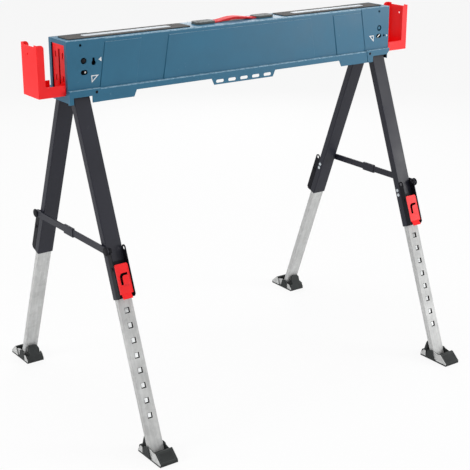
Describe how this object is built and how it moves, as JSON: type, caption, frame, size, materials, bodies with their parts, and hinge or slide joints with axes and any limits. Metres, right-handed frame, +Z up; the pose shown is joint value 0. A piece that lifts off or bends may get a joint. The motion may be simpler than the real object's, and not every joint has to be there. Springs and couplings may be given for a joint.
{
  "type": "builders trestle",
  "caption": "Folding builders trestle: sheet-steel beam on splayed telescopic legs with lever locks, folding braces, tilting feet, a carrying strap and sliding timber supports at the ends.",
  "frame": {"origin": "on the floor, under the middle of the beam", "axes": "X along the beam, Y from the front to the back, Z up"},
  "size_m": [1.054, 0.7258, 0.8774],
  "materials": {
    "blue_paint": "blue powder coat",
    "slate_paint": "dark slate powder coat",
    "black_steel": "black powder coat",
    "red_paint": "red powder coat",
    "galvanised": "galvanised",
    "zinc_steel": "zinc plated",
    "red_plastic": "moulded red strap",
    "grey_plastic": "moulded grey",
    "strip_plastic": "pale, smooth",
    "grip_rubber": "dark grip rubber",
    "shoe_rubber": "black moulded rubber"
  },
  "bodies": {
    "beam": {"beam_shell": "blue_paint", "left_end_sleeve": "blue_paint", "right_end_sleeve": "blue_paint", "left_hinge_bracket": "black_steel", "right_hinge_bracket": "black_steel", "hinge_pins": "zinc_steel", "left_top_pad": "grip_rubber", "right_top_pad": "grip_rubber", "left_wear_strip": "strip_plastic", "right_wear_strip": "strip_plastic", "carry_strap": "red_plastic", "left_strap_clip": "grey_plastic", "right_strap_clip": "grey_plastic", "beam_fasteners": "black_steel"},
    "left_support": {"left_timber_support": "red_paint", "left_support_arms": "black_steel"},
    "right_support": {"right_timber_support": "red_paint", "right_support_arms": "black_steel"},
    "front_left_leg": {"front_left_upper_tube": "slate_paint", "front_left_lock_bracket": "black_steel", "front_left_lock_pins": "black_steel", "front_left_lock_spring": "zinc_steel"},
    "front_left_lever": {"front_left_lock_lever": "red_paint"},
    "front_left_lower": {"front_left_lower_tube": "galvanised"},
    "front_left_foot": {"front_left_foot_plate": "galvanised", "front_left_foot_shoe": "shoe_rubber", "front_left_foot_pin": "zinc_steel"},
    "front_left_brace": {"front_left_brace_bar": "black_steel"},
    "back_left_leg": {"back_left_upper_tube": "slate_paint", "back_left_lock_bracket": "black_steel", "back_left_lock_pins": "black_steel", "back_left_lock_spring": "zinc_steel"},
    "back_left_lever": {"back_left_lock_lever": "red_paint"},
    "back_left_lower": {"back_left_lower_tube": "galvanised"},
    "back_left_foot": {"back_left_foot_plate": "galvanised", "back_left_foot_shoe": "shoe_rubber", "back_left_foot_pin": "zinc_steel"},
    "back_left_brace": {"back_left_brace_bar": "black_steel", "left_brace_collar": "black_steel"},
    "front_right_leg": {"front_right_upper_tube": "slate_paint", "front_right_lock_bracket": "black_steel", "front_right_lock_pins": "black_steel", "front_right_lock_spring": "zinc_steel"},
    "front_right_lever": {"front_right_lock_lever": "red_paint"},
    "front_right_lower": {"front_right_lower_tube": "galvanised"},
    "front_right_foot": {"front_right_foot_plate": "galvanised", "front_right_foot_shoe": "shoe_rubber", "front_right_foot_pin": "zinc_steel"},
    "front_right_brace": {"front_right_brace_bar": "black_steel"},
    "back_right_leg": {"back_right_upper_tube": "slate_paint", "back_right_lock_bracket": "black_steel", "back_right_lock_pins": "black_steel", "back_right_lock_spring": "zinc_steel"},
    "back_right_lever": {"back_right_lock_lever": "red_paint"},
    "back_right_lower": {"back_right_lower_tube": "galvanised"},
    "back_right_foot": {"back_right_foot_plate": "galvanised", "back_right_foot_shoe": "shoe_rubber", "back_right_foot_pin": "zinc_steel"},
    "back_right_brace": {"back_right_brace_bar": "black_steel", "right_brace_collar": "black_steel"}
  },
  "joints": [
    {"name": "front_left_fold", "type": "hinge", "parent": "beam", "child": "front_left_leg", "pos_m": [-0.4275, -0.0268, 0.752], "axis": [0, -0.9342, 0.3567], "range_deg": [0, 81.5]},
    {"name": "front_left_brace_turn", "type": "hinge", "parent": "front_left_leg", "child": "front_left_brace", "pos_m": [-0.4512, -0.16565, 0.43465], "axis": [1, 0, 0], "range_deg": [0, 61]},
    {"name": "front_left_lever_pull", "type": "hinge", "parent": "front_left_leg", "child": "front_left_lever", "pos_m": [-0.4275, -0.18008, 0.39628], "axis": [-1, 0, 0], "range_deg": [0, 25], "stiffness_Nm_per_rad": 0.5, "springref_deg": -17.19},
    {"name": "front_left_draw_in", "type": "slide", "parent": "front_left_leg", "child": "front_left_lower", "axis": [0, 0.3567, 0.9342], "range_m": [0, 0.2672]},
    {"name": "front_left_foot_tilt", "type": "hinge", "parent": "front_left_lower", "child": "front_left_foot", "pos_m": [-0.4275, -0.30785, 0.016], "axis": [-1, 0, 0], "range_deg": [-5, 20]},
    {"name": "back_left_fold", "type": "hinge", "parent": "beam", "child": "back_left_leg", "pos_m": [-0.4275, 0.0268, 0.752], "axis": [0, -0.9342, -0.3567], "range_deg": [0, 81.5]},
    {"name": "back_left_brace_turn", "type": "hinge", "parent": "back_left_leg", "child": "back_left_brace", "pos_m": [-0.4512, 0.16565, 0.43465], "axis": [-1, 0, 0], "range_deg": [0, 61]},
    {"name": "back_left_lever_pull", "type": "hinge", "parent": "back_left_leg", "child": "back_left_lever", "pos_m": [-0.4275, 0.18008, 0.39628], "axis": [1, 0, 0], "range_deg": [0, 25], "stiffness_Nm_per_rad": 0.5, "springref_deg": -17.19},
    {"name": "back_left_draw_in", "type": "slide", "parent": "back_left_leg", "child": "back_left_lower", "axis": [0, -0.3567, 0.9342], "range_m": [0, 0.2672]},
    {"name": "back_left_foot_tilt", "type": "hinge", "parent": "back_left_lower", "child": "back_left_foot", "pos_m": [-0.4275, 0.30785, 0.016], "axis": [1, 0, 0], "range_deg": [-5, 20]},
    {"name": "front_right_fold", "type": "hinge", "parent": "beam", "child": "front_right_leg", "pos_m": [0.4275, -0.0268, 0.752], "axis": [0, 0.9342, -0.3567], "range_deg": [0, 66]},
    {"name": "front_right_brace_turn", "type": "hinge", "parent": "front_right_leg", "child": "front_right_brace", "pos_m": [0.4512, -0.16565, 0.43465], "axis": [1, 0, 0], "range_deg": [0, 61]},
    {"name": "front_right_lever_pull", "type": "hinge", "parent": "front_right_leg", "child": "front_right_lever", "pos_m": [0.4275, -0.18008, 0.39628], "axis": [-1, 0, 0], "range_deg": [0, 25], "stiffness_Nm_per_rad": 0.5, "springref_deg": -17.19},
    {"name": "front_right_draw_in", "type": "slide", "parent": "front_right_leg", "child": "front_right_lower", "axis": [0, 0.3567, 0.9342], "range_m": [0, 0.2672]},
    {"name": "front_right_foot_tilt", "type": "hinge", "parent": "front_right_lower", "child": "front_right_foot", "pos_m": [0.4275, -0.30785, 0.016], "axis": [-1, 0, 0], "range_deg": [-5, 20]},
    {"name": "back_right_fold", "type": "hinge", "parent": "beam", "child": "back_right_leg", "pos_m": [0.4275, 0.0268, 0.752], "axis": [0, 0.9342, 0.3567], "range_deg": [0, 66]},
    {"name": "back_right_brace_turn", "type": "hinge", "parent": "back_right_leg", "child": "back_right_brace", "pos_m": [0.4512, 0.16565, 0.43465], "axis": [-1, 0, 0], "range_deg": [0, 61]},
    {"name": "back_right_lever_pull", "type": "hinge", "parent": "back_right_leg", "child": "back_right_lever", "pos_m": [0.4275, 0.18008, 0.39628], "axis": [1, 0, 0], "range_deg": [0, 25], "stiffness_Nm_per_rad": 0.5, "springref_deg": -17.19},
    {"name": "back_right_draw_in", "type": "slide", "parent": "back_right_leg", "child": "back_right_lower", "axis": [0, -0.3567, 0.9342], "range_m": [0, 0.2672]},
    {"name": "back_right_foot_tilt", "type": "hinge", "parent": "back_right_lower", "child": "back_right_foot", "pos_m": [0.4275, 0.30785, 0.016], "axis": [1, 0, 0], "range_deg": [-5, 20]},
    {"name": "left_support_slide", "type": "slide", "parent": "beam", "child": "left_support", "axis": [-1, 0, 0], "range_m": [0, 0.045]},
    {"name": "right_support_slide", "type": "slide", "parent": "beam", "child": "right_support", "axis": [1, 0, 0], "range_m": [0, 0.045]}
  ],
  "couplings": [
    {"joint": "back_left_fold", "follows": "front_left_fold", "ratio": 1},
    {"joint": "front_left_brace_turn", "follows": "front_left_fold", "ratio": 0.738},
    {"joint": "back_left_brace_turn", "follows": "front_left_fold", "ratio": 0.738},
    {"joint": "back_right_fold", "follows": "front_right_fold", "ratio": 1},
    {"joint": "front_right_brace_turn", "follows": "front_right_fold", "ratio": 0.738},
    {"joint": "back_right_brace_turn", "follows": "front_right_fold", "ratio": 0.738}
  ]
}
